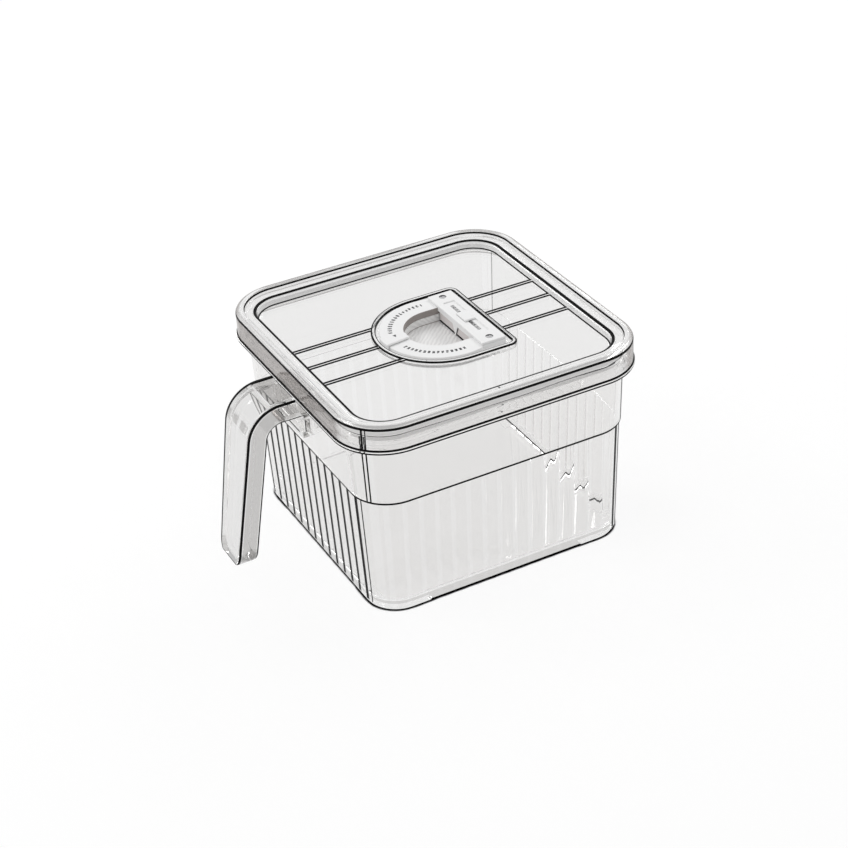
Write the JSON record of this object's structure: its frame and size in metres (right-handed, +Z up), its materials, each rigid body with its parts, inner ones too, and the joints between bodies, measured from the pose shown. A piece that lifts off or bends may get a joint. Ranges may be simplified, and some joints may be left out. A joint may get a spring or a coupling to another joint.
{
  "type": "food storage container",
  "caption": "Square clear fridge container with reeded walls, a clip-on carry handle and a lift-off sealed lid that holds a white date dial with sliding pointers.",
  "frame": {"origin": "centre of the square base, at the height of the table", "axes": "+Z up, -Y towards the handle, X across, with the dial's slider along X"},
  "size_m": [0.157, 0.1952, 0.1087],
  "materials": {
    "clear_body": "clear moulded plastic, polished",
    "clear_handle": "clear moulded plastic, polished",
    "clear_lid": "clear moulded plastic, polished",
    "seal": "translucent silicone",
    "frosted_cup": "frosted plastic with a fine texture",
    "dial_white": "white moulded plastic, satin",
    "screws": "small steel screws",
    "runner": "natural moulded plastic"
  },
  "bodies": {
    "container": {"container_bin": "clear_body", "carry_handle": "clear_handle"},
    "lid": {"lid_shell": "clear_lid", "lid_seal": "seal", "recess_cup": "frosted_cup", "dial_plate": "dial_white", "month_bar": "dial_white", "bar_screws": "screws"},
    "day_hand": {"day_pointer": "dial_white", "pointer_runner": "runner"},
    "month_hand": {"month_slider": "dial_white", "slider_clip": "runner"}
  },
  "joints": [
    {"name": "lid_lift", "type": "slide", "parent": "container", "child": "lid", "axis": [0, 0, 1], "range_m": [0, 0.08]},
    {"name": "day_turn", "type": "hinge", "parent": "lid", "child": "day_hand", "pos_m": [0, 0.005, 0.1], "axis": [0, 0, 1], "range_deg": [-98, 98]},
    {"name": "month_slide", "type": "slide", "parent": "lid", "child": "month_hand", "axis": [1, 0, 0], "range_m": [-0.012, 0.012]}
  ]
}
